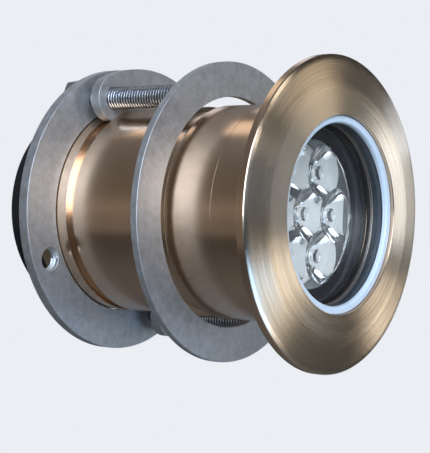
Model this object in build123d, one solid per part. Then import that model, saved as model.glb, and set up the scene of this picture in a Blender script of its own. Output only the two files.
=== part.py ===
from build123d import *
from math import sqrt
import os

# Underwater hull light: a bronze housing that passes through a round hole in a boat's hull and is
# clamped there by a pressure plate on two jack bolts.
# The axis of the light is Y, with the window towards -Y, the cable end towards +Y and +Z up.
# The origin is the centre of the flange's back face, which seats on the outside of the hull.
# All lengths are in millimetres. A station is a place along Y. A bearing is an angle about the
# axis, from +X towards +Z. A room is a radial clearance, a gap is a clearance along the axis.

# Clearances
face_gap = 0.1
slip_room = 0.2
bolt_room = 0.08
seal_room = 0.05
edge_break = 0.3

# Collimator plate and light emitters
lens_pitch = 20.5
lens_bearing = -3.0
outer_lens_count = 6
lens_plate_margin = 1.05
lens_plate_thickness = 2.0
collimator_length = 9.0
collimator_foot_radius = 4.2
collimator_well_radius = 3.0
collimator_well_depth = 4.2
collimator_well_dome = 0.9
lens_leg_radius = 1.2
emitter_base_thickness = 0.7
emitter_dome_margin = 0.2
board_thickness = 1.6
board_screw_shank_radius = 1.25
board_screw_head_radius = 2.25
board_screw_head_height = 1.6
board_screw_depth = 5.0
thermal_pad_thickness = 0.4
thermal_pad_margin = 2.0

# Baffle, window and window seat
baffle_lip = 0.7
baffle_lip_length = 0.6
baffle_flare = 4.5
baffle_flare_length = 2.6
baffle_mouth_depth = 1.25
baffle_land = 1.5
window_thickness = 5.8
window_edge_break = 0.6
gasket_wall = 2.2
gasket_foot_thickness = 1.5
window_seat_width = 3.6
seal_ring_width = 3.3
seal_ring_thickness = 2.4
seal_ring_recess = 1.6

# Flange and front sleeve
flange_width = 19.6
flange_rim_thickness = 3.2
flange_dome_rise = 3.3
flange_dome_bulge = 0.9
sleeve_wall = 5.3
sleeve_length = 27.2
spigot_length = 14.0
spigot_wall = 3.2
seat_step = 1.8
o_ring_section = 1.6
o_ring_groove_offset = 3.0

# Tube
shoulder_station = 52.6
neck_depth = 2.5
neck_length = 7.0
neck_wall = 3.3
tube_step = 0.2
clip_groove_depth = 2.2
tail_length = 11.1

# Clamp: pressure plate, horseshoe plate, rear ring and jack bolts
clamp_station = 49.5
pressure_plate_thickness = 3.4
pressure_plate_room = 3.8
pressure_plate_width = 15.2
jack_travel = 48.0
travel_margin = 0.2
clip_thickness = 5.0
clip_room = 0.25
clip_groove_gap = 0.15
bolt_standoff = 2.85
bolt_bearing = 112.0
bolt_radius = 5.0
bolt_tip_chamfer = 1.0
bolt_head_flats = 17.0
bolt_head_height = 6.4
bolt_head_gap = 1.3
bolt_head_room = 0.5
bolt_head_turn = 10.0
bolt_face_height = 0.4
ring_gap = 5.8
ring_thickness = 5.0
ring_room = 0.3
tapped_hole_count = 4

# Heat sink and driver
heat_sink_base = 8.0
heat_sink_flange = 4.0
fin_height = 16.0
fin_thickness = 1.8
fin_spacing = 5.6
fins_each_side = 5
lock_ring_thickness = 4.0
lock_ring_width = 5.2
lock_ring_slot_width = 4.0
lock_ring_slot_depth = 2.0
fin_margin = 1.6
standoff_count = 4
standoff_flats = 6.0
standoff_inset = 5.5
standoff_pocket_room = 1.4
standoff_clear_height = 10.0
standoff_bore_depth = 8.0
driver_board_margin = 5.0
driver_board_thickness = 1.6
driver_screw_shank_radius = 1.45
driver_screw_head_radius = 2.75
driver_screw_head_height = 2.2
driver_screw_reach = 5.0
capacitor_radius = 5.0
capacitor_height = 13.0
capacitor_pitch = 12.0
capacitor_row_height = 13.0
choke_radius = 9.0
choke_hole_radius = 4.0
choke_height = 8.0
choke_place = (-10.5, -9.0)
terminal_size = (15.0, 10.0, 9.0)
terminal_place = (11.0, -10.0)
terminal_hole_radius = 1.7
terminal_hole_pitch = 6.6
terminal_hole_depth = 7.0

# Rear cap and cable gland
cap_spigot_length = 16.0
cap_spigot_wall = 4.0
cap_neck_length = 4.8
cap_grip_length = 8.3
cap_end_wall = 8.0
cap_step = 0.2
cap_edge_chamfer = 1.4
cap_groove_offset = 2.0
cap_screw_radius = 2.0
cap_screw_count = 3
cap_screw_bearing = 22.0
cap_screw_offset = 5.5
cap_screw_sink = 0.4
cap_screw_socket_flats = 2.0
cap_screw_socket_depth = 1.8
gland_thread_radius = 9.9
gland_flats = 24.0
gland_flange_thickness = 5.0
gland_neck_radius = 9.0
gland_neck_length = 7.0
gland_counterbore_depth = 4.0
gland_seal_wall = 3.0
cable_bore_radius = 4.2
gland_bore_room = 0.8
gland_seal_length = 11.0
gland_nut_wall = 2.4
gland_nut_opening_room = 1.3
gland_o_ring_section = 1.5

# Corner radius of a hexagon that is one unit across its flats
hexagon_corner = 1 / sqrt(3)

# Radii from the optics outwards
lens_radius = lens_pitch / 2
lens_corner_radius = lens_pitch / sqrt(3)
optic_radius = lens_pitch + lens_radius + lens_plate_margin
baffle_bore = optic_radius + slip_room
baffle_mouth = baffle_bore - baffle_lip + baffle_flare
baffle_radius = baffle_mouth + baffle_land
core_bore = baffle_radius + slip_room
opening_radius = core_bore + window_seat_width
gasket_radius = opening_radius - slip_room
window_radius = gasket_radius - gasket_wall - slip_room
seal_ring_radius = opening_radius - slip_room
sleeve_radius = opening_radius + sleeve_wall
flange_radius = sleeve_radius + flange_width
carrier_bore = core_bore + seat_step
spigot_radius = carrier_bore + spigot_wall
neck_radius = sleeve_radius - neck_depth
tube_radius = sleeve_radius - tube_step
tube_bore = neck_radius - neck_wall
socket_radius = spigot_radius + slip_room
clip_floor = tube_radius - clip_groove_depth
clip_inner = clip_floor + clip_room
bolt_circle = sleeve_radius + bolt_standoff + bolt_radius
clip_outer = 2 * bolt_circle - clip_inner
lobe_radius = (clip_outer - clip_inner) / 2
pressure_plate_hole = sleeve_radius + pressure_plate_room
pressure_plate_radius = pressure_plate_hole + pressure_plate_width
tapped_radius = bolt_radius + bolt_room
bolt_head_radius = bolt_head_flats * hexagon_corner
tail_radius = bolt_circle - bolt_head_radius - bolt_head_room
ring_bore = tube_radius + ring_room
cap_radius = tube_radius - cap_step
cap_spigot_radius = tube_bore - slip_room
cap_hollow = cap_spigot_radius - cap_spigot_wall

# Stations from the front of the light to its cable end
flange_front = -flange_rim_thickness - flange_dome_rise
seal_ring_front = flange_front + seal_ring_recess
seal_ring_back = seal_ring_front + seal_ring_thickness
window_front = seal_ring_back + face_gap
window_back = window_front + window_thickness
gasket_foot_front = window_back + face_gap
gasket_back = gasket_foot_front + gasket_foot_thickness
seat_station = gasket_back + face_gap
baffle_front = seat_station + face_gap
baffle_step = baffle_front + baffle_mouth_depth
baffle_throat = baffle_step + baffle_flare_length
lens_pocket = baffle_throat + baffle_lip_length
lens_front = lens_pocket + face_gap
lens_plate_back = lens_front + lens_plate_thickness
collimator_foot = lens_plate_back + collimator_length
board_front = collimator_foot + 4 * face_gap
board_back = board_front + board_thickness
baffle_back = board_front - face_gap
pad_front = board_back + seal_room
heat_sink_front = pad_front + thermal_pad_thickness + seal_room
carrier_seat = heat_sink_front - face_gap
heat_sink_flange_back = heat_sink_front + heat_sink_flange
heat_sink_back = heat_sink_front + heat_sink_base
fin_tip = heat_sink_back + fin_height
lock_ring_front = heat_sink_flange_back + face_gap
spigot_end = sleeve_length + spigot_length
pressure_plate_back = clamp_station + pressure_plate_thickness
clip_front = pressure_plate_back + jack_travel + travel_margin
clip_back = clip_front + clip_thickness
groove_front = clip_front - clip_groove_gap
groove_back = clip_back + clip_groove_gap
ring_front = clip_back + ring_gap
ring_back = ring_front + ring_thickness
head_front = ring_back + bolt_head_gap
head_back = head_front + bolt_head_height
bolt_tip = pressure_plate_back + face_gap
tube_end = ring_back + tail_length
cap_neck_front = tube_end + face_gap
cap_grip_front = cap_neck_front + cap_neck_length
cap_back = cap_grip_front + cap_grip_length
cap_wall_front = cap_back - cap_end_wall
cap_spigot_front = tube_end - cap_spigot_length
standoff_end = fin_tip + standoff_clear_height
driver_board_front = standoff_end + face_gap
driver_board_back = driver_board_front + driver_board_thickness
parts_front = driver_board_back + face_gap
gland_flange_front = cap_back + gland_o_ring_section
gland_flange_back = gland_flange_front + gland_flange_thickness
gland_neck_end = gland_flange_back + gland_neck_length
gland_seal_front = gland_neck_end - gland_counterbore_depth + face_gap
gland_seal_back = gland_seal_front + gland_seal_length
gland_nut_front = gland_flange_back + 10 * face_gap
gland_nut_step = gland_neck_end + 5 * face_gap
gland_nut_back = gland_seal_back + face_gap + gland_nut_wall


def section(station):
    """Plane across the axis at a station, with X to the right and Z up."""
    return Plane(origin=(0, station, 0), x_dir=(1, 0, 0), z_dir=(0, -1, 0))


def slab(sketch, front, back):
    """Flat sketch across the axis, given its thickness from one station to another."""
    return extrude(section(front) * sketch, front - back)


def turned(*outline):
    """Solid of revolution about the axis from (radius, station) corners."""
    return revolve(make_face(Polyline(*outline, close=True)), Axis.Y)


def ring(inner, outer, front, back, edge=0.0):
    """Turned ring, with its four edges broken where an edge size is given."""
    if edge == 0.0:
        return turned((inner, front), (outer, front), (outer, back), (inner, back))
    return turned(
        (inner + edge, front),
        (outer - edge, front),
        (outer, front + edge),
        (outer, back - edge),
        (outer - edge, back),
        (inner + edge, back),
        (inner, back - edge),
        (inner, front + edge),
    )


def o_ring(floor, wall, station):
    """O-ring squeezed between a groove floor and the wall round it, centred on a station."""
    section_radius = (wall - floor) / 2 - seal_room
    return revolve(Plane.XY * Pos((wall + floor) / 2, station) * Circle(section_radius), Axis.Y)


def hexagon(flats, turn=0.0):
    """Hexagon by its width across the flats."""
    return RegularPolygon(flats / 2, 6, major_radius=False, rotation=turn)


def chamfered_hexagon(flats, front, back, turn=0.0):
    """Hexagonal head whose back corners are turned down, as on a bolt head."""
    corner_radius = flats * hexagon_corner
    drop = corner_radius - flats / 2
    blank = slab(hexagon(flats, turn), front, back)
    return blank & turned(
        (0, front),
        (corner_radius, front),
        (corner_radius, back - drop),
        (flats / 2, back),
        (0, back),
    )


def jack_places(count, bearing):
    """Places on the bolt circle, evenly spaced from a bearing."""
    return PolarLocations(bolt_circle, count, start_angle=bearing)


def lens_places():
    """Places of the middle collimator and of those round it."""
    outer = PolarLocations(lens_pitch, outer_lens_count, start_angle=lens_bearing)
    return [Location((0, 0, 0))] + list(outer.locations)


def lens_gap_places(first):
    """Every other corner where the middle collimator and two outer ones meet and leave room behind."""
    bearing = lens_bearing + 180 / outer_lens_count + first * 360 / outer_lens_count
    return PolarLocations(lens_corner_radius, outer_lens_count // 2, start_angle=bearing).locations


def standoff_places():
    """Places of the posts between the heat sink and the driver board."""
    return PolarLocations(fin_radius() - standoff_inset, standoff_count, start_angle=45).locations


def fin_radius():
    """Radius of the fin block, which passes through the lock ring."""
    return carrier_bore - slip_room - lock_ring_width - fin_margin


def bezel_housing():
    """Domed flange with the window pocket, the front sleeve and the spigot that enters the tube."""
    dome_start = (opening_radius + edge_break, flange_front)
    dome_end = (flange_radius - edge_break, -flange_rim_thickness)
    dome_middle = (
        (dome_start[0] + dome_end[0]) / 2,
        (dome_start[1] + dome_end[1]) / 2 - flange_dome_bulge,
    )
    groove_floor = spigot_radius - o_ring_section
    groove_front_wall = sleeve_length + o_ring_groove_offset
    dome = ThreePointArc(dome_start, dome_middle, dome_end)
    rest = Polyline(
        dome_end,
        (flange_radius, edge_break - flange_rim_thickness),
        (flange_radius, -edge_break),
        (flange_radius - edge_break, 0),
        (sleeve_radius, 0),
        (sleeve_radius, sleeve_length - edge_break),
        (sleeve_radius - edge_break, sleeve_length),
        (spigot_radius, sleeve_length),
        (spigot_radius, groove_front_wall),
        (groove_floor, groove_front_wall),
        (groove_floor, groove_front_wall + 2 * o_ring_section),
        (spigot_radius, groove_front_wall + 2 * o_ring_section),
        (spigot_radius, spigot_end),
        (carrier_bore, spigot_end),
        (carrier_bore, carrier_seat),
        (core_bore, carrier_seat),
        (core_bore, seat_station),
        (opening_radius, seat_station),
        (opening_radius, flange_front + edge_break),
        dome_start,
    )
    return revolve(make_face(dome + rest), Axis.Y)


def seam_o_ring():
    """Seal between the spigot and the tube's socket."""
    station = sleeve_length + o_ring_groove_offset + o_ring_section
    return o_ring(spigot_radius - o_ring_section, socket_radius, station)


def tube_housing():
    """Rear tube: socket, rounded shoulder, neck, groove for the horseshoe plate, tail for the cap."""
    front = sleeve_length + face_gap
    neck_end = shoulder_station + neck_length
    rise = tube_radius - neck_radius
    outline = Polyline(
        (socket_radius, front),
        (sleeve_radius - edge_break, front),
        (sleeve_radius, front + edge_break),
        (sleeve_radius, shoulder_station - neck_depth),
    )
    shoulder = RadiusArc(
        (sleeve_radius, shoulder_station - neck_depth), (neck_radius, shoulder_station), -neck_depth
    )
    back = Polyline(
        (neck_radius, shoulder_station),
        (neck_radius, neck_end),
        (tube_radius, neck_end + rise),
        (tube_radius, groove_front - edge_break),
        (tube_radius - edge_break, groove_front),
        (clip_floor, groove_front),
        (clip_floor, groove_back),
        (tube_radius - edge_break, groove_back),
        (tube_radius, groove_back + edge_break),
        (tube_radius, ring_back - edge_break),
        (tube_radius - edge_break, ring_back),
        (tail_radius, ring_back),
        (tail_radius, tube_end - edge_break),
        (tail_radius - edge_break, tube_end),
        (tube_bore, tube_end),
        (tube_bore, spigot_end + face_gap),
        (socket_radius, spigot_end + face_gap),
        (socket_radius, front),
    )
    return revolve(make_face(outline + shoulder + back), Axis.Y) - cap_screw_bores(cap_screw_radius)


def window_seal_ring():
    """White ring that holds the window in the flange's pocket."""
    inner = opening_radius - seal_ring_width
    return ring(inner, seal_ring_radius, seal_ring_front, seal_ring_back, edge_break)


def window_glass():
    """Flat round window with ground edges."""
    return turned(
        (0, window_front),
        (window_radius - window_edge_break, window_front),
        (window_radius, window_front + window_edge_break),
        (window_radius, window_back - window_edge_break),
        (window_radius - window_edge_break, window_back),
        (0, window_back),
    )


def window_gasket():
    """Rubber gasket round the window's edge, with a foot under its back face."""
    return turned(
        (gasket_radius - gasket_wall, window_front),
        (gasket_radius, window_front),
        (gasket_radius, gasket_back),
        (core_bore, gasket_back),
        (core_bore, gasket_foot_front),
        (gasket_radius - gasket_wall, gasket_foot_front),
    )


def lens_baffle():
    """Black baffle: a stepped, flared mouth, a lip that holds the collimator plate and a spacer sleeve."""
    throat = baffle_bore - baffle_lip
    return turned(
        (baffle_mouth, baffle_front),
        (baffle_radius, baffle_front),
        (baffle_radius, baffle_back),
        (baffle_bore, baffle_back),
        (baffle_bore, lens_pocket),
        (throat, lens_pocket),
        (throat, baffle_throat),
        (baffle_mouth, baffle_step),
    )


def collimator():
    """Clear paraboloid on the axis, which widens from the foot until it meets its neighbours."""
    knee = (lens_corner_radius + collimator_foot_radius) / 2
    knee_height = collimator_length * collimator_foot_radius / (lens_corner_radius + collimator_foot_radius)
    side = Bezier(
        (collimator_foot_radius, collimator_foot),
        (knee, collimator_foot - knee_height),
        (lens_corner_radius, lens_plate_back),
    )
    base = Polyline(
        (lens_corner_radius, lens_plate_back),
        (0, lens_plate_back),
        (0, collimator_foot),
        (collimator_foot_radius, collimator_foot),
    )
    return revolve(make_face(side + base), Axis.Y)


def collimator_well():
    """Hollow of a collimator's foot, with a domed bottom that gathers the emitter's light."""
    well_front = collimator_foot - collimator_well_depth
    dome_top = well_front + collimator_well_dome
    dome = Bezier((0, dome_top), (collimator_well_radius / 2, dome_top), (collimator_well_radius, well_front))
    sides = Polyline(
        (collimator_well_radius, well_front),
        (collimator_well_radius, collimator_foot),
        (0, collimator_foot),
        (0, dome_top),
    )
    return revolve(make_face(dome + sides), Axis.Y)


def lens_plate():
    """Clear plate of collimators that merge at their rims, each with a well over its emitter, and legs."""
    body = slab(Circle(optic_radius), lens_front, lens_plate_back)
    moves = [Pos(place.position.X, 0, place.position.Y) for place in lens_places()]
    body += [move * collimator() for move in moves]
    for place in lens_gap_places(1):
        body += slab(place * Circle(lens_leg_radius), lens_front, board_front - face_gap)
    body &= slab(Circle(optic_radius), lens_front, board_front)
    return body - [move * collimator_well() for move in moves]


def led_board():
    """Round metal-cored board that carries the emitters, drilled for its screws."""
    holes = [place * Circle(board_screw_shank_radius + slip_room) for place in lens_gap_places(0)]
    return slab(Circle(baffle_radius) - holes, board_front, board_back)


def led_emitters():
    """Emitters on the board, each a square base with a clear dome."""
    base_width = sqrt(2) * (collimator_well_radius - slip_room)
    dome_radius = base_width / 2 - emitter_dome_margin
    base_back = board_front - seal_room
    base_front = base_back - emitter_base_thickness
    emitters = []
    for place in lens_places():
        base = slab(place * Rectangle(base_width, base_width), base_front, base_back)
        dome = section(base_front) * place * Sphere(dome_radius)
        front_half = slab(place * Circle(dome_radius + face_gap), base_front - dome_radius, base_front)
        emitters.append(base + (dome & front_half))
    return Compound(children=emitters)


def board_screws():
    """Screws that hold the board to the heat sink."""
    back = board_front - face_gap
    screws = []
    for place in lens_gap_places(0):
        head = slab(place * Circle(board_screw_head_radius), back - board_screw_head_height, back)
        shank = slab(place * Circle(board_screw_shank_radius), back, heat_sink_front + board_screw_depth)
        screws.append(head + shank)
    return Compound(children=screws)


def thermal_pad():
    """Soft pad that carries heat from the board to the heat sink."""
    holes = [place * Circle(board_screw_shank_radius + slip_room) for place in lens_gap_places(0)]
    back = pad_front + thermal_pad_thickness
    return slab(Circle(baffle_radius - thermal_pad_margin) - holes, pad_front, back)


def heat_sink():
    """Aluminium carrier: a flanged disc on the bronze seat with a block of straight fins behind."""
    rim = carrier_bore - slip_room
    base = turned(
        (0, heat_sink_front),
        (rim, heat_sink_front),
        (rim, heat_sink_flange_back),
        (fin_radius(), heat_sink_flange_back),
        (fin_radius(), heat_sink_back),
        (0, heat_sink_back),
    )
    columns = [
        Pos(step * fin_spacing, 0) * Rectangle(fin_thickness, 2 * fin_radius())
        for step in range(-fins_each_side, fins_each_side + 1)
    ]
    fins = Sketch() + columns & Circle(fin_radius())
    pocket = standoff_flats * hexagon_corner + standoff_pocket_room
    pockets = [place * Circle(pocket) for place in standoff_places()]
    body = base + slab(fins - pockets, heat_sink_back - edge_break, fin_tip)
    hole = board_screw_shank_radius + slip_room
    for place in lens_gap_places(0):
        depth = heat_sink_front + board_screw_depth + slip_room
        body -= slab(place * Circle(hole), heat_sink_front, depth)
    return body


def heat_sink_lock_ring():
    """Threaded ring that presses the heat sink on its seat, with two slots for a pin wrench."""
    outer = carrier_bore - slip_room
    inner = outer - lock_ring_width
    back = lock_ring_front + lock_ring_thickness
    slots = Rectangle(2 * outer, lock_ring_slot_width) - Circle(inner)
    cut = slab(slots, back - lock_ring_slot_depth, back)
    return ring(inner, outer, lock_ring_front, back) - cut


def driver_standoffs():
    """Hexagonal posts, tapped at their rear end."""
    front = heat_sink_back + seal_room
    posts = []
    for place in standoff_places():
        post = slab(place * hexagon(standoff_flats), front, standoff_end)
        tapped = place * Circle(driver_screw_shank_radius + slip_room / 2)
        posts.append(post - slab(tapped, standoff_end - standoff_bore_depth, standoff_end))
    return Compound(children=posts)


def driver_board():
    """Round driver board on the posts, drilled for its screws."""
    holes = [place * Circle(driver_screw_shank_radius + slip_room) for place in standoff_places()]
    outline = Circle(tube_bore - driver_board_margin)
    return slab(outline - holes, driver_board_front, driver_board_back)


def driver_screws():
    """Pan-head screws that hold the driver board."""
    head_front_station = driver_board_back + face_gap
    shank_front = standoff_end - driver_screw_reach
    screws = []
    for place in standoff_places():
        shank = slab(place * Circle(driver_screw_shank_radius), shank_front, head_front_station)
        head_back_station = head_front_station + driver_screw_head_height
        head = slab(place * Circle(driver_screw_head_radius), head_front_station, head_back_station)
        screws.append(shank + head)
    return Compound(children=screws)


def driver_capacitors():
    """Row of can capacitors on the driver board."""
    places = [Location((step * capacitor_pitch, capacitor_row_height, 0)) for step in (-1, 0, 1)]
    back = parts_front + capacitor_height
    return Compound(children=[slab(place * Circle(capacitor_radius), parts_front, back) for place in places])


def driver_choke():
    """Ring-shaped choke that lies flat on the driver board."""
    outline = Circle(choke_radius) - Circle(choke_hole_radius)
    choke = slab(Location((*choke_place, 0)) * outline, parts_front, parts_front + choke_height)
    return fillet(choke.edges().filter_by(GeomType.CIRCLE), choke_height / 5)


def input_terminal():
    """Two-way terminal block for the supply leads."""
    width, height, depth = terminal_size
    place = Location((*terminal_place, 0))
    block = slab(place * Rectangle(width, height), parts_front, parts_front + depth)
    back = parts_front + depth
    for side in (-1, 1):
        hole = place * Pos(side * terminal_hole_pitch / 2, 0) * Circle(terminal_hole_radius)
        block -= slab(hole, back - terminal_hole_depth, back)
    return block


def pressure_plate():
    """Steel ring that the jack bolts press against the inside of the hull."""
    back = pressure_plate_back
    return ring(pressure_plate_hole, pressure_plate_radius, clamp_station, back, edge_break)


def horseshoe_plate():
    """Half ring with rounded ends that slides into the tube's groove and takes the bolts' thrust."""
    far_side = Rot(0, 0, bolt_bearing) * Pos(0, -clip_outer) * Rectangle(2 * clip_outer, 2 * clip_outer)
    half = (Circle(clip_outer) - Circle(clip_inner)) & far_side
    ends = list(jack_places(2, bolt_bearing).locations)
    outline = half + [place * Circle(lobe_radius) for place in ends]
    outline -= [place * Circle(tapped_radius) for place in ends]
    return chamfer(slab(outline, clip_front, clip_back).edges(), edge_break)


def rear_ring():
    """Steel ring behind the horseshoe plate, with tapped holes for two or four jack bolts."""
    body = ring(ring_bore, clip_outer, ring_front, ring_back, edge_break)
    for place in jack_places(tapped_hole_count, bolt_bearing).locations:
        body -= slab(place * Circle(tapped_radius), ring_front, ring_back)
    holes = body.edges().filter_by(lambda edge: edge.geom_type == GeomType.CIRCLE)
    tapped = holes.filter_by(lambda edge: abs(edge.radius - tapped_radius) < seal_room)
    return chamfer(tapped, edge_break)


def jack_bolt(place):
    """Hexagon-headed jack bolt, from its head behind the rear ring to its tip on the plate."""
    face_back = head_front + bolt_face_height
    shank = turned(
        (0, bolt_tip),
        (bolt_radius - bolt_tip_chamfer, bolt_tip),
        (bolt_radius, bolt_tip + bolt_tip_chamfer),
        (bolt_radius, head_front),
        (bolt_head_flats / 2 - edge_break, head_front),
        (bolt_head_flats / 2 - edge_break, face_back),
        (0, face_back),
    )
    head = chamfered_hexagon(bolt_head_flats, face_back, head_back, bolt_head_turn)
    x, z = place.position.X, place.position.Y
    return Pos(x, 0, z) * (shank + head)


def cap_screw_bores(radius):
    """Radial bores through the tube's tail and the cap's spigot, for the cap's set screws."""
    station = tube_end - cap_screw_offset
    length = tail_radius - cap_hollow + 2 * slip_room
    places = PolarLocations(tail_radius + slip_room, cap_screw_count, start_angle=cap_screw_bearing)
    return [section(station) * place * Rot(0, -90, 0) * extrude(Circle(radius), length) for place in places]


def rear_cap():
    """Plastic end cap: a sealed spigot in the tube and a knurled grip, tapped for the gland."""
    groove_floor = cap_spigot_radius - o_ring_section
    groove_start = cap_spigot_front + cap_groove_offset
    gland_hole = gland_thread_radius + bolt_room
    body = turned(
        (gland_hole, cap_wall_front),
        (cap_hollow, cap_wall_front),
        (cap_hollow, cap_spigot_front),
        (cap_spigot_radius, cap_spigot_front),
        (cap_spigot_radius, groove_start),
        (groove_floor, groove_start),
        (groove_floor, groove_start + 2 * o_ring_section),
        (cap_spigot_radius, groove_start + 2 * o_ring_section),
        (cap_spigot_radius, cap_neck_front),
        (tail_radius, cap_neck_front),
        (tail_radius, cap_grip_front),
        (cap_radius, cap_grip_front),
        (cap_radius, cap_back - cap_edge_chamfer),
        (cap_radius - cap_edge_chamfer, cap_back),
        (gland_hole, cap_back),
    )
    for place in jack_places(2, bolt_bearing).locations:
        body -= slab(place * Circle(bolt_head_radius + bolt_head_room), cap_grip_front, cap_back)
    return body - cap_screw_bores(cap_screw_radius)


def cap_o_ring():
    """Seal between the cap's spigot and the tube."""
    station = cap_spigot_front + cap_groove_offset + o_ring_section
    return o_ring(cap_spigot_radius - o_ring_section, tube_bore, station)


def cap_screws():
    """Hexagon socket set screws that hold the cap in the tube's tail."""
    station = tube_end - cap_screw_offset
    length = tail_radius - cap_hollow - cap_screw_sink
    blank = extrude(Circle(cap_screw_radius - seal_room), length)
    socket = extrude(hexagon(cap_screw_socket_flats), cap_screw_socket_depth)
    screw = blank - socket
    places = PolarLocations(tail_radius - cap_screw_sink, cap_screw_count, start_angle=cap_screw_bearing)
    return Compound(children=[section(station) * place * Rot(0, -90, 0) * screw for place in places])


def gland_body():
    """Cable gland body: a thread in the cap, a hexagon flange and a neck with a seat for the seal."""
    bore = cable_bore_radius + gland_bore_room
    stub = ring(bore, gland_thread_radius, cap_wall_front, gland_flange_front)
    flange = slab(hexagon(gland_flats) - Circle(bore), gland_flange_front, gland_flange_back)
    neck = ring(bore, gland_neck_radius, gland_flange_back, gland_neck_end)
    seat_radius = cable_bore_radius + gland_seal_wall + slip_room
    seat = slab(Circle(seat_radius), gland_neck_end - gland_counterbore_depth, gland_neck_end)
    return stub + flange + neck - seat


def gland_o_ring():
    """Seal between the gland's flange and the cap."""
    section_radius = gland_o_ring_section / 2 - seal_room
    centre = gland_thread_radius + slip_room + section_radius
    station = cap_back + gland_o_ring_section / 2
    return revolve(Plane.XY * Pos(centre, station) * Circle(section_radius), Axis.Y)


def gland_seal():
    """Rubber bush that closes on the cable."""
    outer = cable_bore_radius + gland_seal_wall
    return ring(cable_bore_radius, outer, gland_seal_front, gland_seal_back)


def gland_nut():
    """Domed nut over the gland's neck, open for the cable."""
    thread_bore = gland_neck_radius + bolt_room
    seal_bore = cable_bore_radius + gland_seal_wall + slip_room
    opening = cable_bore_radius + gland_nut_opening_room
    blank = chamfered_hexagon(gland_flats, gland_nut_front, gland_nut_back)
    hollow = turned(
        (0, gland_nut_front),
        (thread_bore, gland_nut_front),
        (thread_bore, gland_nut_step),
        (seal_bore, gland_nut_step),
        (seal_bore, gland_nut_back - gland_nut_wall),
        (opening, gland_nut_back - gland_nut_wall),
        (opening, gland_nut_back),
        (0, gland_nut_back),
    )
    return blank - hollow


def light_parts():
    """Every piece of the light by its node name."""
    first_jack, second_jack = jack_places(2, bolt_bearing).locations
    return {
        "bezel_housing": bezel_housing(),
        "tube_housing": tube_housing(),
        "seam_o_ring": seam_o_ring(),
        "window_seal_ring": window_seal_ring(),
        "window_glass": window_glass(),
        "window_gasket": window_gasket(),
        "lens_baffle": lens_baffle(),
        "lens_plate": lens_plate(),
        "led_board": led_board(),
        "led_emitters": led_emitters(),
        "board_screws": board_screws(),
        "thermal_pad": thermal_pad(),
        "heat_sink": heat_sink(),
        "heat_sink_lock_ring": heat_sink_lock_ring(),
        "driver_standoffs": driver_standoffs(),
        "driver_board": driver_board(),
        "driver_screws": driver_screws(),
        "driver_capacitors": driver_capacitors(),
        "driver_choke": driver_choke(),
        "input_terminal": input_terminal(),
        "pressure_plate": pressure_plate(),
        "horseshoe_plate": horseshoe_plate(),
        "rear_ring": rear_ring(),
        "jack_bolt_1": jack_bolt(first_jack),
        "jack_bolt_2": jack_bolt(second_jack),
        "rear_cap": rear_cap(),
        "cap_o_ring": cap_o_ring(),
        "cap_screws": cap_screws(),
        "gland_body": gland_body(),
        "gland_o_ring": gland_o_ring(),
        "gland_seal": gland_seal(),
        "gland_nut": gland_nut(),
    }


os.makedirs("parts", exist_ok=True)
for node, shape in light_parts().items():
    export_step(shape, f"parts/{node}.step")
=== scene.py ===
from math import atan2, cos, degrees, exp, pi, radians, sin, sqrt, tan

import bmesh
import bpy
from mathutils import Matrix, Vector


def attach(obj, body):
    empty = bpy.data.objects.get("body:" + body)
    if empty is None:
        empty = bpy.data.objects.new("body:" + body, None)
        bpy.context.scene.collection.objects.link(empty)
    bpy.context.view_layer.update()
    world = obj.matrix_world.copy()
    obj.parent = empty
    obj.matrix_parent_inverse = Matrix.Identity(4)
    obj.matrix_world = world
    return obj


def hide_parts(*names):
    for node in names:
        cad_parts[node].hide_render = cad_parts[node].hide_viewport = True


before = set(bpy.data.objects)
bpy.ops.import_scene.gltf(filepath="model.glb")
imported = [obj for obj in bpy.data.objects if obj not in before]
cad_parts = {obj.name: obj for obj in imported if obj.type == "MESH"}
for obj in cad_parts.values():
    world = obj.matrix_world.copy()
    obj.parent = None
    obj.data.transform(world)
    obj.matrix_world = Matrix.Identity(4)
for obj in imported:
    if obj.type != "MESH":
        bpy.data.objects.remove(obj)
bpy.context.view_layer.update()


# Camera: a long lens, a little above the light's axis and to the left of its window, so that the
# flange faces right. The place was worked out from the ellipses of the flange, plates and tube.
camera_place = Vector((-0.4734, -0.3008, 0.0197))
camera_aim = Vector((0.7945, 0.6057, -0.0440))
camera_lens = 107.35
camera_data = bpy.data.cameras.new("camera")
camera_data.lens = camera_lens
camera_data.sensor_width = 36
camera_data.clip_start = 0.01
camera = bpy.data.objects.new("camera", camera_data)
camera_turn = camera_aim.to_track_quat("-Z", "Y").to_matrix().to_4x4()
camera.matrix_world = Matrix.Translation(camera_place) @ camera_turn
bpy.context.collection.objects.link(camera)
bpy.context.scene.camera = camera
bpy.context.scene.view_settings.view_transform = "Standard"


# Studio: a dim room with large soft lamps. The world is the room's walls, as the metal mirrors them:
# lighter behind the light, darker in front of it. The camera sees a plain pale grey-blue backdrop.
def linear(code):
    """sRGB hex code as the linear colour that a shader takes."""
    channels = [int(code[place : place + 2], 16) / 255 for place in (0, 2, 4)]
    return [c / 12.92 if c <= 0.04045 else ((c + 0.055) / 1.055) ** 2.4 for c in channels] + [1.0]


def add(tree, kind, settings=None, links=None):
    """Adds one node. Settings are its own properties or its inputs' values, links the outputs it reads."""
    node = tree.nodes.new(kind)
    for name, value in (settings or {}).items():
        if isinstance(name, str) and hasattr(node, name):
            setattr(node, name, value)
        else:
            node.inputs[name].default_value = value
    for name, output in (links or {}).items():
        tree.links.new(output, node.inputs[name])
    return node


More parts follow.
